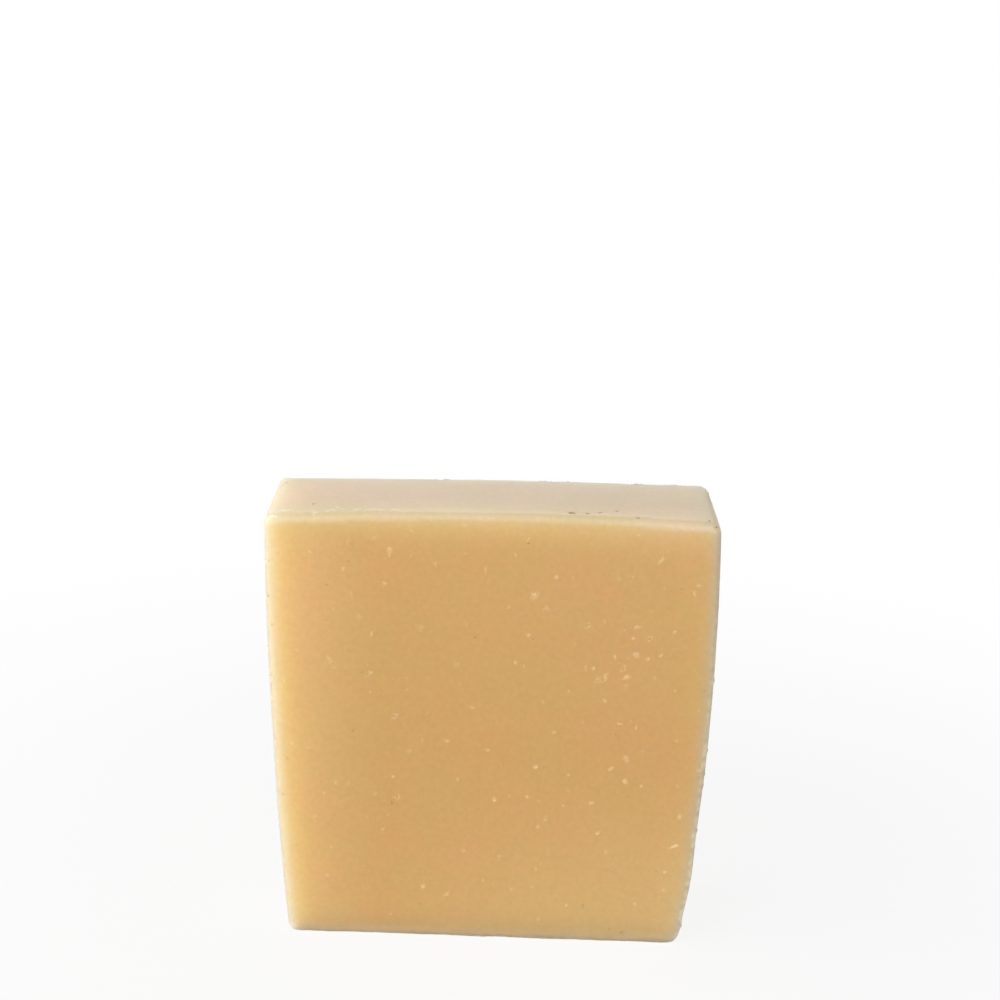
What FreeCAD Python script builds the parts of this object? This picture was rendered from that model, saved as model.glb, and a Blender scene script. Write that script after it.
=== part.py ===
import FreeCAD, Part

import os

import Sketcher

# A bar of handmade soap: one slice of a cast loaf, standing on its base as it stood in the mould.
# The slice has the same section all through. Its base is flat and is the narrowest part, because the
# walls of the mould lean outwards, and both sides bow out a little, the right one more. The top is the
# open side of the mould, where the soap set with a slight crown, a little higher on the right. The
# front and the back are the flat faces where the loaf was cut. Every edge is rounded: the four long
# corners each by a radius of its own, and the rims of the two cut faces by one smaller radius.
#
# Sizes are in millimetres. +Z is up, the front looks along -Y, and the origin is the middle of the base.

NODE = "soap_bar"
NEAR = 1e-4


def make_sizes(doc):
    """The driving dimensions, one row each: what it measures, and its value."""
    sheet = doc.addObject("Spreadsheet::Sheet", "sizes")
    rows = [
        ("base_width", 68.5, "base, side to side, before its corners are rounded"),
        ("top_width", 76.2, "left shoulder to right shoulder, before they are rounded"),
        ("top_offset", 0.8, "how far the top stands to the left of the middle of the base"),
        ("shoulder_height", 75.9, "base to the left shoulder, where the left side meets the top"),
        ("top_rise", 1.2, "how much higher the right shoulder is than the left one"),
        ("left_bow", 0.8, "how far the left side stands out from a straight line"),
        ("right_bow", 1.7, "how far the right side stands out from a straight line"),
        ("crown_bow", 0.9, "how far the top stands up from a straight line"),
        ("slice_depth", 25.0, "front cut face to back cut face"),
        ("top_left_radius", 1.6, "rounding of the left shoulder"),
        ("top_right_radius", 2.2, "rounding of the right shoulder"),
        ("base_left_radius", 2.2, "rounding of the left end of the base"),
        ("base_right_radius", 4.6, "rounding of the right end of the base"),
        ("rim_radius", 1.2, "rounding round the edge of each cut face"),
    ]
    for number, (alias, millimetres, meaning) in enumerate(rows, start=1):
        sheet.set(f"A{number}", meaning)
        sheet.set(f"B{number}", str(millimetres))
        sheet.setAlias(f"B{number}", alias)
    doc.recompute()
    return sheet


def bowed_arc(start, end, bow):
    """An arc that runs from start to end and stands out to its right by bow."""
    along = end - start
    outward = FreeCAD.Vector(along.y, -along.x, 0).normalize()
    return Part.Arc(start, (start + end) / 2 + outward * bow, end)


def bowed_radius(run, rise, bow):
    """The expression for the radius of an arc that stands out by bow from a chord of that run and rise."""
    return f"(({run})^2 + ({rise})^2) / (8 * {bow}) + {bow} / 2"


def bind(sketch, name, kind, places, drawn, expression):
    """Adds a dimension to the sketch, under a name and as large as drawn, and ties it to the sheet."""
    number = sketch.addConstraint(Sketcher.Constraint(kind, *places, drawn))
    sketch.renameConstraint(number, name)
    sketch.setExpression(f"Constraints.{name}", expression)


def add_outline(body, sheet):
    """The section of the loaf, drawn on the upright plane: base, right side, top and left side."""
    plane = next(f for f in body.Origin.OriginFeatures if f.Role == "XZ_Plane")
    sketch = body.newObject("Sketcher::SketchObject", "outline")
    sketch.AttachmentSupport = [(plane, "")]
    sketch.MapMode = "FlatFace"

    half_base = sheet.base_width / 2
    left_reach = sheet.top_width / 2 + sheet.top_offset
    right_height = sheet.shoulder_height + sheet.top_rise
    base_left = FreeCAD.Vector(-half_base, 0, 0)
    base_right = FreeCAD.Vector(half_base, 0, 0)
    shoulder_left = FreeCAD.Vector(-left_reach, sheet.shoulder_height, 0)
    shoulder_right = FreeCAD.Vector(sheet.top_width - left_reach, right_height, 0)
    base, right, top, left = sketch.addGeometry(
        [
            Part.LineSegment(base_left, base_right),
            bowed_arc(base_right, shoulder_right, sheet.right_bow),
            bowed_arc(shoulder_right, shoulder_left, sheet.crown_bow),
            bowed_arc(shoulder_left, base_left, sheet.left_bow),
        ],
        False,
    )

    start, end = 1, 2
    x_axis, y_axis = -1, -2
    origin = (-1, 1)
    for one, following in ((base, right), (right, top), (top, left), (left, base)):
        sketch.addConstraint(Sketcher.Constraint("Coincident", one, end, following, start))
    sketch.addConstraint(Sketcher.Constraint("PointOnObject", base, start, x_axis))
    sketch.addConstraint(Sketcher.Constraint("Symmetric", base, start, base, end, y_axis))

    reach = "sizes.top_width / 2 + sizes.top_offset"
    left_rise = "sizes.shoulder_height"
    right_rise = "sizes.shoulder_height + sizes.top_rise"
    dimensions = (
        ("base_width", "DistanceX", (base, start, base, end), sheet.base_width, "sizes.base_width"),
        ("top_width", "DistanceX", (left, start, right, end), sheet.top_width, "sizes.top_width"),
        ("left_reach", "DistanceX", (left, start, *origin), left_reach, reach),
        ("left_height", "DistanceY", (*origin, left, start), sheet.shoulder_height, left_rise),
        ("right_height", "DistanceY", (*origin, right, end), right_height, right_rise),
    )
    for dimension in dimensions:
        bind(sketch, *dimension)

    lean = "(sizes.top_width - sizes.base_width) / 2"
    arcs = (
        ("left_radius", left, f"{lean} + sizes.top_offset", left_rise, "sizes.left_bow"),
        ("right_radius", right, f"{lean} - sizes.top_offset", right_rise, "sizes.right_bow"),
        ("top_radius", top, "sizes.top_width", "sizes.top_rise", "sizes.crown_bow"),
    )
    for name, arc, run, rise, bow in arcs:
        bind(sketch, name, "Radius", (arc,), sketch.Geometry[arc].Radius, bowed_radius(run, rise, bow))
    return sketch


def add_slice(body, outline):
    """The cut slice, as deep in front of the outline's plane as behind it."""
    pad = body.newObject("PartDesign::Pad", "slice")
    pad.Profile = outline
    pad.SideType = "Symmetric"
    pad.setExpression("Length", "sizes.slice_depth")
    body.Document.recompute()
    return pad


def add_rounding(body, feature, name, wanted, radius):
    """Rounds the edges of the feature that the test picks out, by the named size."""
    fillet = body.newObject("PartDesign::Fillet", name)
    edges = enumerate(feature.Shape.Edges, start=1)
    fillet.Base = (feature, [f"Edge{number}" for number, edge in edges if wanted(edge)])
    fillet.setExpression("Radius", f"sizes.{radius}")
    body.Document.recompute()
    return fillet


def at_corner(side, at_top, sheet):
    """A test for the edge that runs from front to back at one corner of the section."""
    middle_height = sheet.shoulder_height / 2

    def wanted(edge):
        first, last = (vertex.Point for vertex in edge.Vertexes)
        runs_back = abs(first.x - last.x) < NEAR and abs(first.z - last.z) < NEAR
        return runs_back and first.x * side > 0 and (first.z > middle_height) == at_top

    return wanted


def on_cut_face(sheet):
    """A test for the edges that lie in the front or the back cut face."""

    def wanted(edge):
        return all(abs(abs(vertex.Y) - sheet.slice_depth / 2) < NEAR for vertex in edge.Vertexes)

    return wanted


def make_bar(doc, sheet):
    """The whole bar: the slice, its four rounded corners, and the rounded rims of its cut faces."""
    body = doc.addObject("PartDesign::Body", "bar")
    body.Label = NODE
    feature = add_slice(body, add_outline(body, sheet))
    for end_name, at_top in (("top", True), ("base", False)):
        for side_name, side in (("left", -1), ("right", 1)):
            corner = f"{end_name}_{side_name}"
            wanted = at_corner(side, at_top, sheet)
            feature = add_rounding(body, feature, f"{corner}_corner", wanted, f"{corner}_radius")
    add_rounding(body, feature, "rims", on_cut_face(sheet), "rim_radius")
    return body


def check(doc, body):
    """Stops the script if a feature failed or the bar isn't one closed solid."""
    failed = [o.Name for o in doc.Objects if "Invalid" in o.State or "Error" in o.State]
    if failed:
        raise RuntimeError(f"these features failed: {failed}")
    shape = body.Shape
    if shape.isNull() or not shape.isValid() or len(shape.Solids) != 1:
        raise RuntimeError(f"{body.Label} isn't one valid solid")


def main():
    doc = FreeCAD.newDocument("soap")
    sheet = make_sizes(doc)
    bar = make_bar(doc, sheet)
    doc.recompute()
    check(doc, bar)
    os.makedirs("parts", exist_ok=True)
    bar.Shape.exportStep(f"parts/{bar.Label}.step")
    print(f"{bar.Label}: {bar.Shape.Volume / 1000:.1f} cubic centimetres, {bar.Shape.optimalBoundingBox()}")


main()
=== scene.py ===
import math
import random

import bmesh
import bpy
from mathutils import Matrix, Vector, bvhtree, kdtree, noise


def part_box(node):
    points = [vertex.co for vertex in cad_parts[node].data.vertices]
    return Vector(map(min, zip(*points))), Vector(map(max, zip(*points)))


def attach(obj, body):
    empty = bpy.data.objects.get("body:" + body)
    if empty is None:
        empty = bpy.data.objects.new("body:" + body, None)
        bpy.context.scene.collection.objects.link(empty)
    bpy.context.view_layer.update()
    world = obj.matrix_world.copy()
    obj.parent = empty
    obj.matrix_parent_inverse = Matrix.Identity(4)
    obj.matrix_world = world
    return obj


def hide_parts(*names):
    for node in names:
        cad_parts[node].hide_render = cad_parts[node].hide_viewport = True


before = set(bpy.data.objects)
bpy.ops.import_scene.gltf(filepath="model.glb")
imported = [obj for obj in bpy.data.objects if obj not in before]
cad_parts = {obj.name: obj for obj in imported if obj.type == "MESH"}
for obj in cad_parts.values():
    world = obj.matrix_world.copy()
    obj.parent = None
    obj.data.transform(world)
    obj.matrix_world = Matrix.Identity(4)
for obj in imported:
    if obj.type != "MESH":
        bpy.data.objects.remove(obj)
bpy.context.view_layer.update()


# Camera. It stands a hand's width higher than the bar and a little over a foot in front of it, looks
# down on it and is turned a little about its own line of sight, so that the bar's level lines fall to
# the right. Its place and focal length are those at which the bar's outline falls on the photograph's.

# The scene is in metres, so a length in millimetres is multiplied by MM. The sensor's isn't, because a
# camera takes it in millimetres.
MM = 0.001
SENSOR_WIDTH = 36
PICTURE_WIDTH = 1000
FOCAL_LENGTH_IN_PIXELS = 2070
CAMERA_PLACE = Vector((0.33, -342.4, 171.7)) * MM
LOOK_DOWN = math.radians(15.55)
ROLL = math.radians(1.96)
NEAREST_SEEN = 10 * MM

camera = bpy.data.objects.new("camera", bpy.data.cameras.new("camera"))
bpy.context.scene.collection.objects.link(camera)
camera.data.sensor_width = SENSOR_WIDTH
camera.data.lens = FOCAL_LENGTH_IN_PIXELS / PICTURE_WIDTH * SENSOR_WIDTH
camera.data.clip_start = NEAREST_SEEN
aim = Matrix.Rotation(math.pi / 2 - LOOK_DOWN, 4, "X") @ Matrix.Rotation(ROLL, 4, "Z")
camera.matrix_world = Matrix.Translation(CAMERA_PLACE) @ aim
bpy.context.scene.camera = camera


# The bar. Cold-process soap, cast in a loaf mould and cut into slices with a wire, which leaves crumbs,
# nicks, burst bubbles and a ragged burr. The top is the soap's own skin, greyed by a thin bloom, and its
# paler colour also holds a painted sheen. The plain bar is remeshed in small even cells, refined along
# the rims and round the marks, and dented.

WELD = 0.001 * MM
CELL = 0.7 * MM
SMOOTHING = 0.5
SMOOTHING_PASSES = 3

# From what share on, of 1, the surface counts as rim, and as looking up or to a side.
RIM_SHARE = 0.1
FACING_SHARE = 0.7

# The waves of the whole surface and of the rims: their length, and their height from trough to crest.
WAVES = (
    (26 * MM, 0.22 * MM),
    (9 * MM, 0.08 * MM),
    (3 * MM, 0.03 * MM),
)
RIM_WAVES = (
    (5 * MM, 0.12 * MM),
    (1.6 * MM, 0.12 * MM),
    (0.7 * MM, 0.06 * MM),
)

# The right foot is fuller than the plain bar's: by how much, the middle of the place, and its reach.
RIGHT_FOOT = (
    (0.9 * MM, Vector((32.3, 0, 1.2)) * MM, 2.2 * MM),
    (0.4 * MM, Vector((35.7, 0, 12)) * MM, 6 * MM),
)

# The cut faces lie a little inside the plain bar's, so that what stands out from them stays within its
# size. Their rims are fuller at the base, and the last bit above the base keeps its shape, so that the
# bar stands flat. The back edge of the top sags in the middle, and the sag soon dies out below it.
CUT_LOSS = 0.17 * MM
BASE_RIM_FILL = 0.6 * MM
BASE_FLAT = 0.4 * MM
BACK_EDGE_DROP = 0.6 * MM
SAG_FADE = 4

low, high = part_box("soap_bar")
depth = high.y - low.y
height = high.z - low.z
half_width = (high.x - low.x) / 2


def merged(source):
    """A copy of the object's mesh whose faces share their corners."""
    bm = bmesh.new()
    bm.from_mesh(source.data)
    bmesh.ops.remove_doubles(bm, verts=bm.verts, dist=WELD)
    return bm


def remeshed(bm, cell):
    """A closed mesh of even cells in the shape of another one."""
    mesh = bpy.data.meshes.new("cast")
    bm.to_mesh(mesh)
    cast = bpy.data.objects.new("cast", mesh)
    bpy.context.scene.collection.objects.link(cast)
    cells = cast.modifiers.new("cells", "REMESH")
    cells.mode = "VOXEL"
    cells.voxel_size = cell
    shaped = cast.evaluated_get(bpy.context.evaluated_depsgraph_get())
    result = bpy.data.meshes.new_from_object(shaped)
    bpy.data.objects.remove(cast)
    return result


def settle(bm, verts, passes, surface):
    """Evens out the vertices and lays them back on the surface."""
    for _ in range(passes):
        bmesh.ops.smooth_vert(
            bm, verts=verts, factor=SMOOTHING, use_axis_x=True, use_axis_y=True, use_axis_z=True
        )
    for vert in verts:
        vert.co = surface.find_nearest(vert.co)[0]
    bm.normal_update()


def split(bm, faces):
    """Cuts each of the faces into four."""
    edges = {edge for face in faces for edge in face.edges}
    bmesh.ops.subdivide_edges(bm, edges=list(edges), cuts=1, use_grid_fill=True)
    bm.normal_update()
    bm.verts.ensure_lookup_table()
    bm.verts.index_update()


def ease(share):
    """0 up to a share of 0, 1 from a share of 1, and a smooth step between."""
    share = min(max(share, 0), 1)
    return share * share * (3 - 2 * share)


def ripple(place, waves):
    """How far uneven waves, each with a length and a height, raise or sink a place."""
    return sum(size / 2 * noise.noise(place / length) for length, size in waves)


def on_rim(normal):
    """1 halfway round the rim of a cut face, and 0 on the faces that meet there."""
    return 4 * normal.y ** 2 * (1 - normal.y ** 2)


def tree_of(verts):
    """A tree that finds which of the vertices lie near a place."""
    tree = kdtree.KDTree(len(verts))
    for number, vert in enumerate(verts):
        tree.insert(vert.co, number)
    tree.balance()
    return tree


plain = merged(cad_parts["soap_bar"])
surface = bvhtree.BVHTree.FromBMesh(plain)
bar = bmesh.new()
bar.from_mesh(remeshed(plain, CELL))
plain.free()
settle(bar, bar.verts, SMOOTHING_PASSES, surface)
split(bar, [face for face in bar.faces if on_rim(face.normal) > RIM_SHARE])
settle(bar, [vert for vert in bar.verts if on_rim(vert.normal) > RIM_SHARE], 1, surface)

for vert in bar.verts:
    for push, centre, reach in RIGHT_FOOT:
        away = math.hypot(vert.co.x - centre.x, vert.co.z - centre.z)
        outward = Vector((vert.normal.x, 0, vert.normal.z))
        vert.co += outward * push * math.exp(-(away / reach) ** 2)
    rise = ripple(vert.co, WAVES) + on_rim(vert.normal) * ripple(vert.co, RIM_WAVES)
    rise -= CUT_LOSS * vert.normal.y ** 2
    rise += BASE_RIM_FILL * on_rim(vert.normal) * max(-vert.normal.z, 0)
    vert.co += vert.normal * rise * ease(vert.co.z / BASE_FLAT)
    in_the_middle = max(1 - (vert.co.x / half_width) ** 2, 0)
    to_the_back = (vert.co.y - low.y) / depth
    vert.co.z -= BACK_EDGE_DROP * to_the_back * in_the_middle * (vert.co.z / height) ** SAG_FADE
bar.normal_update()

# The top and the sides as they are before the marks, for the skin, and for the bloom with its painted
# sheen.
top = tree_of([vert for vert in bar.verts if vert.normal.z > FACING_SHARE])
sides = tree_of([vert for vert in bar.verts if abs(vert.normal.x) > FACING_SHARE])


# The marks. Crumbs and flakes lie on the cut faces, burr stands along the rims, and nicks, holes and
# pits, which are burst bubbles, are sunk. Each kind has the height of its middle and of its lip, then
# how pale its middle is, how pale its lip is, which is a painted highlight, and how dark its middle is,
# which is painted shade in the hollow, from 0 to 1.

KINDS = {
    "crumb": (0.16 * MM, 0, 0.4, 0, 0),
    "flake": (0.06 * MM, 0, 0.24, 0, 0),
    "burr": (0.15 * MM, 0, 1, 0, 0),
    "nick": (-0.2 * MM, 0.12 * MM, 0.1, 0.5, 0.12),
    "hole": (-0.3 * MM, 0, 0, 0.06, 0.9),
    "pit": (-0.1 * MM, 0, 0, 0, 0.35),
}

# The larger ones stand where the front shows them. Each has its kind, its place across and up, its
# length and its width in millimetres, and its tilt in degrees.
FRONT_MARKS = (
    ("crumb", -5, 75, 1.0, 0.5, 10),
    ("crumb", -14, 74, 0.5, 0.4, 0),
    ("flake", -20.5, 72.5, 1.2, 0.5, 30),
    ("crumb", -31, 69.5, 0.8, 0.6, 90),
    ("crumb", -17.5, 70, 1.3, 0.6, 100),
    ("crumb", -25.5, 67, 0.9, 0.4, 50),
    ("crumb", -18.5, 65, 0.6, 0.5, 0),
    ("flake", -31, 64, 1.0, 0.5, 5),
    ("pit", -28.5, 64, 0.6, 0.5, 0),
    ("flake", -24, 62.5, 1.1, 0.8, 90),
    ("crumb", -27, 60, 0.6, 0.5, 0),
    ("flake", -22.5, 58.5, 1.1, 0.9, 0),
    ("crumb", -20.5, 55.5, 0.7, 0.5, 60),
    ("flake", -12.5, 57, 1.2, 0.9, 0),
    ("crumb", -27.5, 51, 1.4, 0.8, 115),
    ("crumb", -27, 49, 0.5, 0.3, 0),
    ("crumb", -21, 48.5, 0.8, 0.5, 100),
    ("pit", -22, 48.5, 0.5, 0.5, 0),
    ("crumb", -35.5, 46.5, 0.8, 0.4, 90),
    ("crumb", -3.5, 43, 0.6, 0.4, 0),
    ("nick", -16.5, 41, 1.0, 0.7, 0),
    ("crumb", -2, 67.5, 0.8, 0.4, 90),
    ("hole", 5, 72.5, 0.4, 0.4, 0),
    ("crumb", 6.5, 63.5, 1.3, 1.1, 20),
    ("flake", 9, 61.5, 1.1, 0.9, 0),
    ("crumb", 10.5, 66.5, 0.6, 0.5, 0),
    ("flake", 21, 66.5, 0.7, 0.4, 90),
    ("crumb", 28, 70, 1.0, 0.6, 40),
    ("crumb", 34, 66, 0.5, 0.4, 0),
    ("crumb", 33, 64.5, 0.8, 0.3, 100),
    ("pit", 31.5, 65.5, 0.5, 0.5, 0),
    ("nick", 16, 58.5, 0.9, 0.7, 0),
    ("flake", 13.5, 55, 0.8, 0.3, 80),
    ("crumb", 24, 58.5, 0.8, 0.4, 0),
    ("nick", 26.5, 56.5, 0.8, 0.6, 60),
    ("crumb", 24, 53.5, 1.0, 0.7, -50),
    ("crumb", 26, 53, 0.5, 0.5, 0),
    ("crumb", 28, 53.5, 0.6, 0.4, 30),
    ("crumb", 20.5, 52.5, 0.8, 0.3, 110),
    ("nick", 22, 51, 0.8, 0.5, 45),
    ("flake", 16, 51, 1.0, 0.5, 100),
    ("crumb", 17, 50.5, 0.8, 0.3, 90),
    ("nick", 18, 49, 0.9, 0.6, 60),
    ("crumb", 19.5, 49.5, 1.7, 0.4, 85),
    ("crumb", 22.5, 49.5, 1.0, 0.7, 20),
    ("crumb", 4, 51.5, 0.5, 0.4, 0),
    ("crumb", 5, 51, 0.6, 0.3, 110),
    ("crumb", 8.5, 44.5, 0.5, 0.4, 0),
    ("crumb", 19.5, 45, 0.8, 0.3, 130),
    ("pit", 36, 47, 0.6, 0.5, 0),
    ("crumb", 22, 41, 0.6, 0.4, 0),
    ("crumb", 10.5, 39, 0.8, 0.4, 45),
    ("crumb", 23.5, 34.5, 1.0, 0.6, 100),
    ("crumb", 21, 32.5, 1.2, 0.3, 40),
    ("crumb", 8, 32.5, 0.6, 0.4, 0),
    ("crumb", 13.5, 31, 0.5, 0.4, 0),
    ("crumb", -34, 35.5, 0.7, 0.5, 0),
    ("crumb", -31.5, 34.5, 0.6, 0.4, 0),
    ("crumb", -7, 36.5, 0.6, 0.4, 20),
    ("flake", -14, 35, 0.8, 0.6, 0),
    ("crumb", -26.5, 28.5, 0.8, 0.4, 90),
    ("flake", -24.5, 28.5, 1.1, 0.8, 0),
    ("crumb", -16.5, 30, 0.6, 0.4, 0),
    ("crumb", -28, 26.5, 0.6, 0.5, 0),
    ("flake", -25.5, 25, 1.2, 0.9, 0),
    ("nick", -15.5, 26.5, 1.0, 0.9, 0),
    ("crumb", -0.5, 35.5, 0.5, 0.4, 0),
    ("crumb", 1, 26, 0.6, 0.5, 0),
    ("crumb", 7, 27, 0.5, 0.4, 0),
    ("crumb", 18, 26.5, 0.7, 0.4, 0),
    ("crumb", 10, 23, 0.5, 0.4, 0),
    ("crumb", 9, 21, 0.5, 0.4, 0),
    ("crumb", 19, 21, 1.1, 0.3, 45),
    ("crumb", 33.5, 24, 1.1, 0.4, 90),
    ("crumb", 32.5, 30, 0.5, 0.4, 0),
    ("burr", 32.2, 18.5, 1.6, 0.4, 22),
    ("crumb", 20.5, 17, 0.5, 0.5, 0),
    ("flake", 28.5, 15.5, 0.6, 0.4, 0),
    ("crumb", 31.5, 13.5, 0.6, 0.5, 0),
    ("crumb", -30, 22, 0.6, 0.4, 0),
    ("crumb", -17.5, 20, 0.6, 0.4, 0),
    ("crumb", -27, 16.5, 0.7, 0.4, 30),
    ("crumb", -28, 10.5, 0.7, 0.5, 0),
    ("crumb", -11, 9.5, 0.7, 0.5, 0),
    ("crumb", -6.5, 8, 1.2, 0.4, 45),
    ("crumb", -0.5, 11, 0.5, 0.4, 0),
    ("crumb", -4, 16.5, 0.5, 0.4, 0),
    ("crumb", -16.5, 3.5, 0.6, 0.4, 0),
    ("crumb", 2.5, 15.5, 0.6, 0.4, 0),
    ("crumb", 8.5, 13.5, 1.0, 0.3, 90),
    ("crumb", 8, 10, 0.5, 0.4, 0),
    ("flake", 13, 8, 1.1, 0.8, 0),
    ("crumb", 14.5, 7, 0.5, 0.5, 0),
    ("crumb", 26, 7, 0.6, 0.5, 0),
    ("crumb", 9.5, 4, 0.5, 0.4, 0),
)

# Burr and pinholes along the front rim of the top, crumbs down the right rim, nicks along the back rim
# and a mark on each shoulder. Each has its kind, its place across, back and up, and then the same.
RIM_MARKS = (
    ("burr", -37.4, -12.1, 76, 1.3, 0.3, 10),
    ("burr", -35.7, -10.3, 76.5, 1.6, 1.0, -10),
    ("burr", -30.4, -11.4, 77, 1.0, 1.0, -15),
    ("burr", -27.6, -9.8, 77, 1.6, 1.0, 15),
    ("burr", -26.7, -8.6, 77, 0.6, 1.4, 0),
    ("burr", -23.6, -10.4, 77, 1.3, 0.9, 0),
    ("burr", -20.4, -10, 77, 3.4, 0.8, 0),
    ("burr", -17.4, -9.8, 77, 1.0, 0.9, 10),
    ("hole", 12.5, -10, 77, 1.4, 1.3, 0),
    ("hole", 15.2, -10, 77, 0.7, 1.3, 40),
    ("hole", 16.8, -9.8, 77, 0.5, 1.2, -40),
    ("hole", 20.1, -8, 77, 0.4, 0.9, 0),
    ("hole", 23.5, -11.3, 77, 0.4, 0.5, 0),
    ("hole", 35.3, -10.8, 77, 0.5, 0.8, 0),
    ("hole", 36.5, -12, 76.5, 0.5, 0.4, 0),
    ("hole", -31, -6, 77, 0.4, 0.4, 0),
    ("crumb", 37.5, -11.5, 49, 1.0, 0.6, 90),
    ("crumb", 37, -11.5, 44, 0.8, 0.5, 90),
    ("crumb", 36, -12.3, 33, 1.2, 0.4, 0),
    ("crumb", 37, -11.5, 36.5, 0.9, 0.5, 60),
    ("nick", 36.5, -11.5, 29, 1.2, 0.8, 90),
    ("nick", -37.5, 8, 76, 1.2, 0.8, 0),
    ("nick", -10, 12, 77, 1.6, 1.0, 0),
    ("nick", 9, 12, 77, 2.0, 1.2, 0),
    ("nick", 13, 12, 77, 1.4, 0.9, 0),
    ("nick", 23.5, 12, 77, 2.4, 1.2, 0),
    ("nick", 32, 12, 77, 2.6, 1.4, 0),
    ("crumb", 37, 3, 76.5, 1.2, 0.7, 90),
)

# The smaller ones are strewn over the cut faces and the sides, from a fixed seed. Their lengths are in
# millimetres, most of them are short, and on the front none is long. TURNED_SHARE is the share of 1
# from which the surface counts as turned a way.
STRAY_SEED = 5
STRAY_MARKS = 480
STRAY_KINDS = ("crumb",) * 14 + ("flake",) * 14 + ("nick",) * 3 + ("pit",) * 9
SHORTEST_STRAY = 0.35
LONGEST_STRAY = 1.3
LONGEST_FRONT_STRAY = 0.9
NARROWEST_SHARE = 0.4
STRAY_TILT = 90
STRAY_TILT_SPREAD = 40
CLEAR_OF_BASE = 1.5 * MM
TURNED_SHARE = 0.5

# The mesh is refined twice round each mark, the second time less far out, in millimetres.
REFINED_MARGINS = (0.3, 0.1)

# A mark reaches from 0 in its middle to 1 at its outline, which is ragged. Its lip stands on one side
# of the outline, and its pale tone, which on the lip is a painted highlight, and its dark tone, which is
# painted shade, fade out about it.
RAGGED_LENGTH = 0.3 * MM
LIP_WIDTH = 0.3
LIP_SIDE = 0.6
PALE_END = 1.15
PALE_FADE = 0.4
PAINTED_SHADE_END = 0.9
PAINTED_SHADE_FADE = 0.5

places = [(kind, (x, low.y / MM, z), *rest) for kind, x, z, *rest in FRONT_MARKS]
places += [(kind, (x, y, z), *rest) for kind, x, y, z, *rest in RIM_MARKS]
random.seed(STRAY_SEED)
bar.verts.ensure_lookup_table()
walls = [vert for vert in bar.verts if vert.co.z > CLEAR_OF_BASE and vert.normal.z < TURNED_SHARE]
for vert in random.sample(walls, STRAY_MARKS):
    longest = LONGEST_FRONT_STRAY if vert.normal.y < -TURNED_SHARE else LONGEST_STRAY
    length = SHORTEST_STRAY + (longest - SHORTEST_STRAY) * random.random() ** 3
    width = length * random.uniform(NARROWEST_SHARE, 1)
    kind = random.choice(STRAY_KINDS)
    tilt = random.gauss(STRAY_TILT, STRAY_TILT_SPREAD)
    places.append((kind, vert.co / MM, length, width, tilt))

tree = tree_of(bar.verts)
marks = []
for kind, place, length, width, tilt in places:
    centre = bar.verts[tree.find(Vector(place) * MM)[1]]
    level = Vector((0, 0, 1)).cross(centre.normal)
    if level.length < TURNED_SHARE:
        level = Vector((1, 0, 0))
    along = Matrix.Rotation(math.radians(tilt), 3, centre.normal) @ level.normalized()
    across = centre.normal.cross(along)
    axes = (along * 2 / length, across * 2 / width)
    marks.append((kind, centre.co.copy(), centre.normal.copy(), *axes, length))

for margin in REFINED_MARGINS:
    tree = tree_of(bar.verts)
    near = set()
    for kind, centre, normal, along, across, length in marks:
        reach = (length / 2 + margin) * MM
        near.update(number for _, number, _ in tree.find_range(centre, reach))
    split(bar, [face for face in bar.faces if any(vert.index in near for vert in face.verts)])

# Pale holds real pale crumbs and burr and also painted highlight and glow; dark is painted shade.
pale = bar.verts.layers.float.new("pale")
painted_shade = bar.verts.layers.float.new("painted_shade")
tree = tree_of(bar.verts)
for kind, centre, normal, along, across, length in marks:
    middle_height, lip_height, middle_pale, lip_highlight, middle_shade = KINDS[kind]
    for place, number, _ in tree.find_range(centre, length * MM):
        vert = bar.verts[number]
        offset = (place - centre) / MM
        ragged = 1 + noise.noise(place / RAGGED_LENGTH)
        radius = ragged * math.hypot(offset.dot(along), offset.dot(across))
        inside = max(1 - radius ** 2, 0)
        lip = math.exp(-((radius - 1) / LIP_WIDTH) ** 2) * ease(LIP_SIDE + offset.dot(along))
        vert.co += normal * (middle_height * inside + lip_height * lip)
        cover = ease((PALE_END - radius) / PALE_FADE)
        # A nick's or hole's pale lip is a painted highlight, and a dark middle is painted shade in the
        # hollow.
        vert[pale] = max(vert[pale], middle_pale * cover, lip_highlight * lip)
        vert[painted_shade] = max(vert[painted_shade], middle_shade * ease((PAINTED_SHADE_END - radius) / PAINTED_SHADE_FADE))
bar.normal_update()


# What drying has left, and painted light. The grey skin of the sides ends in a narrow margin on the
# cut faces, and the bloom on the top holds a painted sheen. A paler tone lies on the burr, and along the
# rims it also paints a highlight on the right and lifts the shade along the base. Under the top and on
# the left it is a painted glow, at the foot painted light from the floor, and a warmer painted light
# lies along the base. The burr tone grows to the right and to the foot, and is palest along the base.

# Each tone has its reach, and a paleness from 0 to 1. BURR_AND_RIM_LIGHT_WIDTH and WARM_BASE_LIGHT_TURN
# are how soon a tone is full as the surface turns, and BASE_BURR_AND_LIGHT and FOOT_LIGHT_LEAN how much is
# added at the base and on the right.
SKIN_MARGIN = 3.1 * MM
BLOOM_AND_SHEEN_MARGIN = 1.3 * MM
BLOOM_AND_SHEEN_SPREAD = 0.8 * MM
BLOOM_AND_SHEEN_FADE = 1 * MM
# The burr tone is pale burr and also painted light: a highlight on the right rim, light on the base rim.
BURR_AND_RIM_LIGHT_LENGTH = 1.1 * MM
BURR_AND_RIM_LIGHT_PALENESS = 0.65
BURR_AND_RIM_LIGHT_WIDTH = 3
BASE_BURR_AND_LIGHT = 2.8
# A painted glow on the cut faces under the top.
TOP_GLOW_MARGIN = 8 * MM
TOP_GLOW_PALENESS = 0.42
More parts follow.
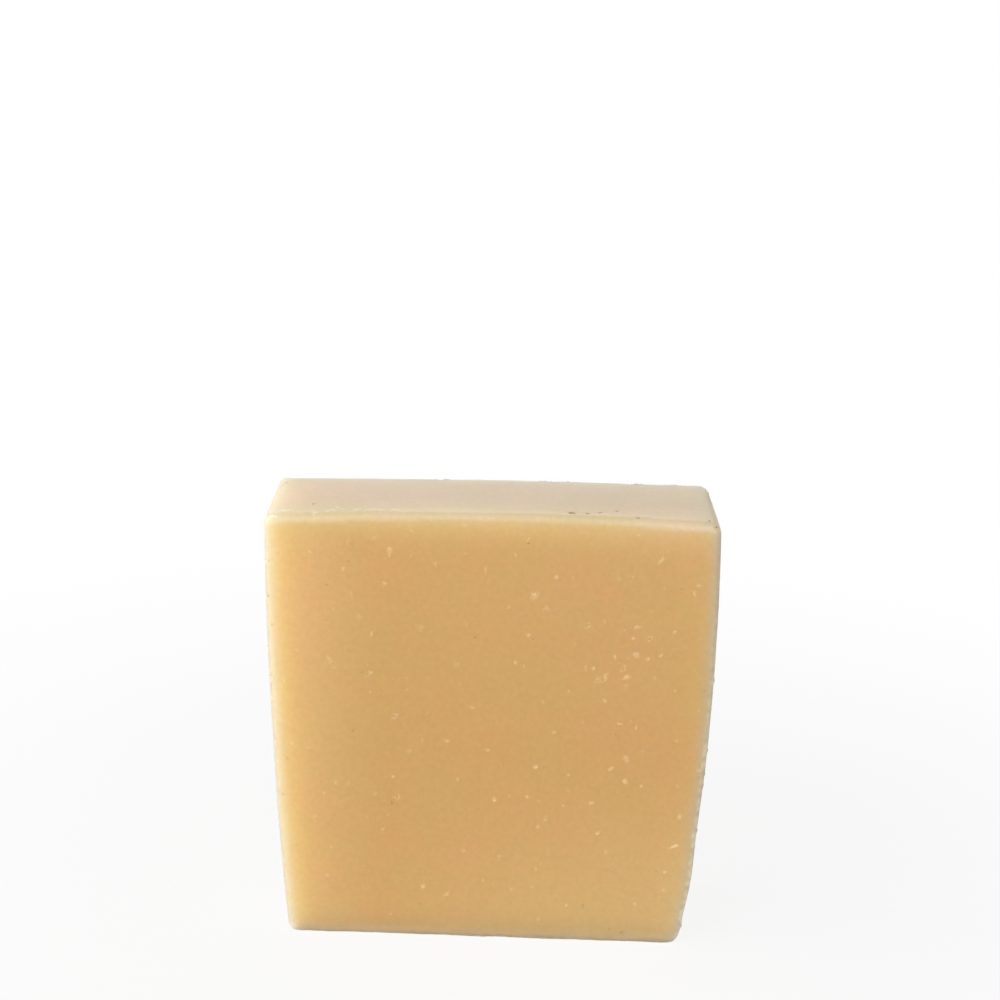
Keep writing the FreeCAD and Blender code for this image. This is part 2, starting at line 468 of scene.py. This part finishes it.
# Painted light from the floor on the cut faces, paler toward the foot and to the right.
FOOT_LIGHT_HEIGHT = 38 * MM
FOOT_LIGHT_PALENESS = 0.19
FOOT_LIGHT_LEAN = 0.8
# A painted glow along the left edge of the cut faces.
LEFT_GLOW_REACH = 23 * MM
LEFT_GLOW_PALENESS = 0.33
# Painted warm light along the base, over the shade where the bar meets the floor.
WARM_BASE_LIGHT_HEIGHT = 2.3 * MM
WARM_BASE_LIGHT_TURN = 3

skin = bar.verts.layers.float.new("skin")
bloom_and_sheen = bar.verts.layers.float.new("bloom_and_sheen")
warm_base_light = bar.verts.layers.float.new("warm_base_light")
for vert in bar.verts:
    under_top = top.find(vert.co)[2]
    beside_side = sides.find(vert.co)[2]
    to_the_right = vert.co.x / half_width

    vert[skin] = max(1 - beside_side / SKIN_MARGIN, 0) ** 2
    bloom_and_sheen_end = BLOOM_AND_SHEEN_MARGIN + BLOOM_AND_SHEEN_SPREAD * to_the_right ** 2
    # The bloom on the top, whose paler colour also holds a painted sheen.
    vert[bloom_and_sheen] = ease((bloom_and_sheen_end - under_top) / BLOOM_AND_SHEEN_FADE)
    free_of_bloom_and_sheen = 1 - vert[bloom_and_sheen]

    # Pale burr along the rims, with a painted highlight on the right and painted light over the base's
    # shade.
    burr = (1 + to_the_right) * (1 - vert.co.z / height) + BASE_BURR_AND_LIGHT * max(-vert.normal.z, 0)
    burr *= ease(BURR_AND_RIM_LIGHT_WIDTH * on_rim(vert.normal)) * free_of_bloom_and_sheen
    burr *= 0.5 + noise.noise(vert.co / BURR_AND_RIM_LIGHT_LENGTH)
    # A painted glow on the cut faces under the top, where light comes in through its edge.
    top_glow = max(1 - under_top / TOP_GLOW_MARGIN, 0) ** 2 * free_of_bloom_and_sheen
    # Painted light from the floor, paler toward the foot and to the right.
    foot_light = (1 + FOOT_LIGHT_LEAN * to_the_right) * ease(1 - vert.co.z / FOOT_LIGHT_HEIGHT)
    # A painted glow along the left edge of the cut faces.
    left = ease(1 - (vert.co.x - low.x) / LEFT_GLOW_REACH) * vert.normal.y ** 2 * free_of_bloom_and_sheen
    vert[pale] = max(
        vert[pale],
        BURR_AND_RIM_LIGHT_PALENESS * burr,
        TOP_GLOW_PALENESS * top_glow,
        FOOT_LIGHT_PALENESS * foot_light + LEFT_GLOW_PALENESS * left,
    )
    # Painted warm light along the base, lifting the shade where the bar meets the floor.
    vert[warm_base_light] = ease(1 - vert.co.z / WARM_BASE_LIGHT_HEIGHT) * ease(WARM_BASE_LIGHT_TURN * (1 + vert.normal.z))

# Nothing stands out past the plain bar's size.
for vert in bar.verts:
    for axis in range(3):
        vert.co[axis] = min(max(vert.co[axis], low[axis]), high[axis])

mesh = bpy.data.meshes.new("cut_soap")
bar.to_mesh(mesh)
bar.free()
mesh.shade_smooth()
soap = bpy.data.objects.new("cut_soap", mesh)
bpy.context.scene.collection.objects.link(soap)


# Cured soap: waxy and matt. Light that enters at an edge shines out again beside it as a pale glow, the
# colour drifts a little between pinker and greener ochre, and a faint mottle follows the grain, which
# is drawn coarser than the real one so that it shows.

CORE_COLOURS = ("#D6AA6D", "#D3AC6B")
# The top's colours: its bloom, with a painted sheen in them.
BLOOM_AND_SHEEN_COLOURS = ("#EBCAA1", "#E4C997")
SKIN_COLOUR = "#C2B096"
# The pale tint lightens real crumbs and burr, and also paints highlights, glow and light.
PALE_LIGHTENING = "#CCB187"
# The warm tint is painted light along the base.
WARM_BASE_LIGHT_TINT = "#FFAD7C"
# The dark colour is painted shade in the hollows.
PAINTED_SHADE_COLOUR = "#94683C"

# The size of the patches and of the grain, and the part of each pattern's range that is used.
DRIFT = 14 * MM
DRIFT_RANGE = (0.35, 0.65)
GRAIN = 0.9 * MM
FINE_GRAIN = 0.25 * MM
FINE_GRAIN_SHARE = 0.4
GRAIN_DEPTH = 0.03 * MM
GRAIN_STRENGTH = 0.6
MOTTLING = 0.035
MOTTLING_RANGE = (0.4, 1)

# The shine, and how far light travels in the soap: red a little less far than green and blue.
ROUGHNESS = 0.42
WAX_IOR = 1.5
SCATTER = 13 * MM
SCATTER_OF_COLOURS = (1.1, 1.3, 1.3)


def linear(colour):
    """The linear RGBA of an sRGB hex colour."""
    channels = [int(colour[i:i + 2], 16) / 255 for i in (1, 3, 5)]
    return [c / 12.92 if c <= 0.04045 else ((c + 0.055) / 1.055) ** 2.4 for c in channels] + [1]


def add_node(owner, kind, inputs=None, **settings):
    """Adds a node with its settings, and sets its inputs to values or links them to sockets."""
    node = owner.node_tree.nodes.new(kind)
    for name, value in settings.items():
        setattr(node, name, value)
    for name, value in (inputs or {}).items():
        if isinstance(value, bpy.types.NodeSocket):
            owner.node_tree.links.new(value, node.inputs[name])
        else:
            node.inputs[name].default_value = value
    return node


cured_soap = bpy.data.materials.new("cured_soap")
cured_soap.use_nodes = True
soap_shader = cured_soap.node_tree.nodes["Principled BSDF"]
on_the_bar = add_node(cured_soap, "ShaderNodeTexCoord").outputs["Object"]
drift = add_node(
    cured_soap, "ShaderNodeTexNoise", {"Vector": on_the_bar, "Scale": 1 / DRIFT, "Detail": 3}
)
patches = add_node(
    cured_soap, "ShaderNodeMapRange",
    {"Value": drift.outputs["Fac"], "From Min": DRIFT_RANGE[0], "From Max": DRIFT_RANGE[1]},
)

# A Mix node has sockets for each kind of value, so those for colours go by their numbers.
UNDER, OVER = 6, 7
BLENDED = 2

tones = []
for pinker, greener in (CORE_COLOURS, BLOOM_AND_SHEEN_COLOURS):
    tone = add_node(
        cured_soap, "ShaderNodeMix",
        {"Factor": patches.outputs["Result"], UNDER: linear(pinker), OVER: linear(greener)},
        data_type="RGBA",
    )
    tones.append(tone.outputs[BLENDED])

# Each layer covers or lightens what is under it, as far as the bar's own values of that name say.
colour, bloom_and_sheen_colour = tones
for name, tint, way in (
    ("skin", linear(SKIN_COLOUR), "MIX"),
    ("bloom_and_sheen", bloom_and_sheen_colour, "MIX"),
    ("pale", linear(PALE_LIGHTENING), "SCREEN"),
    ("warm_base_light", linear(WARM_BASE_LIGHT_TINT), "SCREEN"),
    ("painted_shade", linear(PAINTED_SHADE_COLOUR), "MIX"),
):
    share = add_node(cured_soap, "ShaderNodeAttribute", attribute_name=name)
    layer = add_node(
        cured_soap, "ShaderNodeMix", {"Factor": share.outputs["Fac"], UNDER: colour, OVER: tint},
        data_type="RGBA", blend_type=way,
    )
    colour = layer.outputs[BLENDED]

grain = add_node(
    cured_soap, "ShaderNodeTexNoise", {"Vector": on_the_bar, "Scale": 1 / GRAIN, "Detail": 1}
)
fine_grain = add_node(
    cured_soap, "ShaderNodeTexNoise", {"Vector": on_the_bar, "Scale": 1 / FINE_GRAIN, "Detail": 1}
)
relief = add_node(
    cured_soap, "ShaderNodeMath",
    {0: fine_grain.outputs["Fac"], 1: FINE_GRAIN_SHARE, 2: grain.outputs["Fac"]},
    operation="MULTIPLY_ADD",
)
mottling = add_node(
    cured_soap, "ShaderNodeMapRange",
    {
        "Value": relief.outputs[0],
        "From Min": MOTTLING_RANGE[0],
        "From Max": MOTTLING_RANGE[1],
        "To Min": 1 - MOTTLING,
        "To Max": 1 + MOTTLING,
    },
)
mottled = add_node(
    cured_soap, "ShaderNodeHueSaturation", {"Color": colour, "Value": mottling.outputs["Result"]}
)
bump = add_node(
    cured_soap, "ShaderNodeBump",
    {"Height": relief.outputs[0], "Distance": GRAIN_DEPTH, "Strength": GRAIN_STRENGTH},
)
cured_soap.node_tree.links.new(mottled.outputs["Color"], soap_shader.inputs["Base Color"])
cured_soap.node_tree.links.new(bump.outputs["Normal"], soap_shader.inputs["Normal"])
soap_shader.inputs["Roughness"].default_value = ROUGHNESS
soap_shader.inputs["IOR"].default_value = WAX_IOR
soap_shader.inputs["Subsurface Weight"].default_value = 1
soap_shader.inputs["Subsurface Radius"].default_value = SCATTER_OF_COLOURS
soap_shader.inputs["Subsurface Scale"].default_value = SCATTER
mesh.materials.append(cured_soap)

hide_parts("soap_bar")
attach(soap, "root")


# Floor. A wide sheet of white paper that the bar stands on, far larger than the view. It is lit with
# the bar, and what shows of its own shade round the foot keeps the bar's shadow.

FLOOR_REACH = 3000 * MM
PAPER_COLOUR = "#F4F4F4"
SHADE_START = 50 * MM
SHADE_END = 250 * MM
LEAST_WHITE = 0.87

floor_shape = bmesh.new()
bmesh.ops.create_grid(floor_shape, x_segments=1, y_segments=1, size=FLOOR_REACH)
floor_mesh = bpy.data.meshes.new("floor")
floor_shape.to_mesh(floor_mesh)
floor_shape.free()
floor = bpy.data.objects.new("floor", floor_mesh)
bpy.context.scene.collection.objects.link(floor)


def seen_ray(owner):
    """1 for what is seen, also in a mirror or through glass, and 0 for the light that falls on the bar."""
    ray = add_node(owner, "ShaderNodeLightPath")
    seen = ray.outputs["Is Camera Ray"]
    for other in ("Is Glossy Ray", "Is Transmission Ray"):
        either = add_node(
            owner, "ShaderNodeMath", {0: seen, 1: ray.outputs[other]}, operation="MAXIMUM"
        )
        seen = either.outputs[0]
    return seen


# White paper: uncoated and matt, without a shine. To the eye it is pure white from SHADE_END on, and
# nearer the bar a little of its true shade shows through the white.

paper = bpy.data.materials.new("white_paper")
paper.use_nodes = True
paper_nodes = paper.node_tree.nodes
paper_nodes.remove(paper_nodes["Principled BSDF"])
matt = add_node(paper, "ShaderNodeBsdfDiffuse", {"Color": linear(PAPER_COLOUR)})
pure_white = add_node(paper, "ShaderNodeEmission", {"Color": (1, 1, 1, 1), "Strength": 1})
on_the_floor = add_node(paper, "ShaderNodeTexCoord").outputs["Object"]
away = add_node(paper, "ShaderNodeVectorMath", {0: on_the_floor}, operation="LENGTH")
whiteness = add_node(
    paper, "ShaderNodeMapRange",
    {
        "Value": away.outputs["Value"],
        "From Min": SHADE_START,
        "From Max": SHADE_END,
        "To Min": LEAST_WHITE,
        "To Max": 1,
    },
    interpolation_type="SMOOTHSTEP",
)
shown = add_node(
    paper, "ShaderNodeMath", {0: seen_ray(paper), 1: whiteness.outputs[0]}, operation="MULTIPLY"
)
sheet = add_node(
    paper, "ShaderNodeMixShader", {0: shown.outputs[0], 1: matt.outputs[0], 2: pure_white.outputs[0]}
)
paper.node_tree.links.new(sheet.outputs[0], paper_nodes["Material Output"].inputs["Surface"])
floor_mesh.materials.append(paper)


# Light. Plain studio light from square soft boxes, and even light from a white room, whose walls look
# pure white but light the bar with a share of that. Each box has its place, the place it faces and its
# width in millimetres, and its power in watts.

BAR_MIDDLE = (0, 0, 40)
BAR_FOOT = (20, 0, 20)
SOFT_BOXES = (
    # On the left and a little above the bar, for the glow along its left edge.
    ("left_box", (-550, -20, 160), BAR_MIDDLE, 350, 1.52),
    # The main one, in front and above, on the left.
    ("front_box", (-500, -450, 330), BAR_MIDDLE, 500, 2.33),
    # Behind the bar, for its top.
    ("back_box", (0, 900, 250), BAR_MIDDLE, 600, 1.1),
    # Small and low in front, for the foot.
    ("low_box", (120, -400, 50), BAR_FOOT, 200, 0.6),
)
ROOM_LIGHT = 0.33

for name, place, target, width, watts in SOFT_BOXES:
    lamp = bpy.data.lights.new(name, "AREA")
    lamp.size = width * MM
    lamp.energy = watts
    box = bpy.data.objects.new(name, lamp)
    bpy.context.scene.collection.objects.link(box)
    facing = (Vector(target) - Vector(place)).to_track_quat("-Z", "Y")
    box.matrix_world = Matrix.Translation(Vector(place) * MM) @ facing.to_matrix().to_4x4()

room = bpy.data.worlds.new("room")
bpy.context.scene.world = room
room.use_nodes = True
walls_light = add_node(
    room, "ShaderNodeMapRange", {"Value": seen_ray(room), "To Min": ROOM_LIGHT, "To Max": 1}
)
background = room.node_tree.nodes["Background"]
background.inputs["Color"].default_value = (1, 1, 1, 1)
room.node_tree.links.new(walls_light.outputs[0], background.inputs["Strength"])

bpy.context.scene.view_settings.view_transform = "Standard"
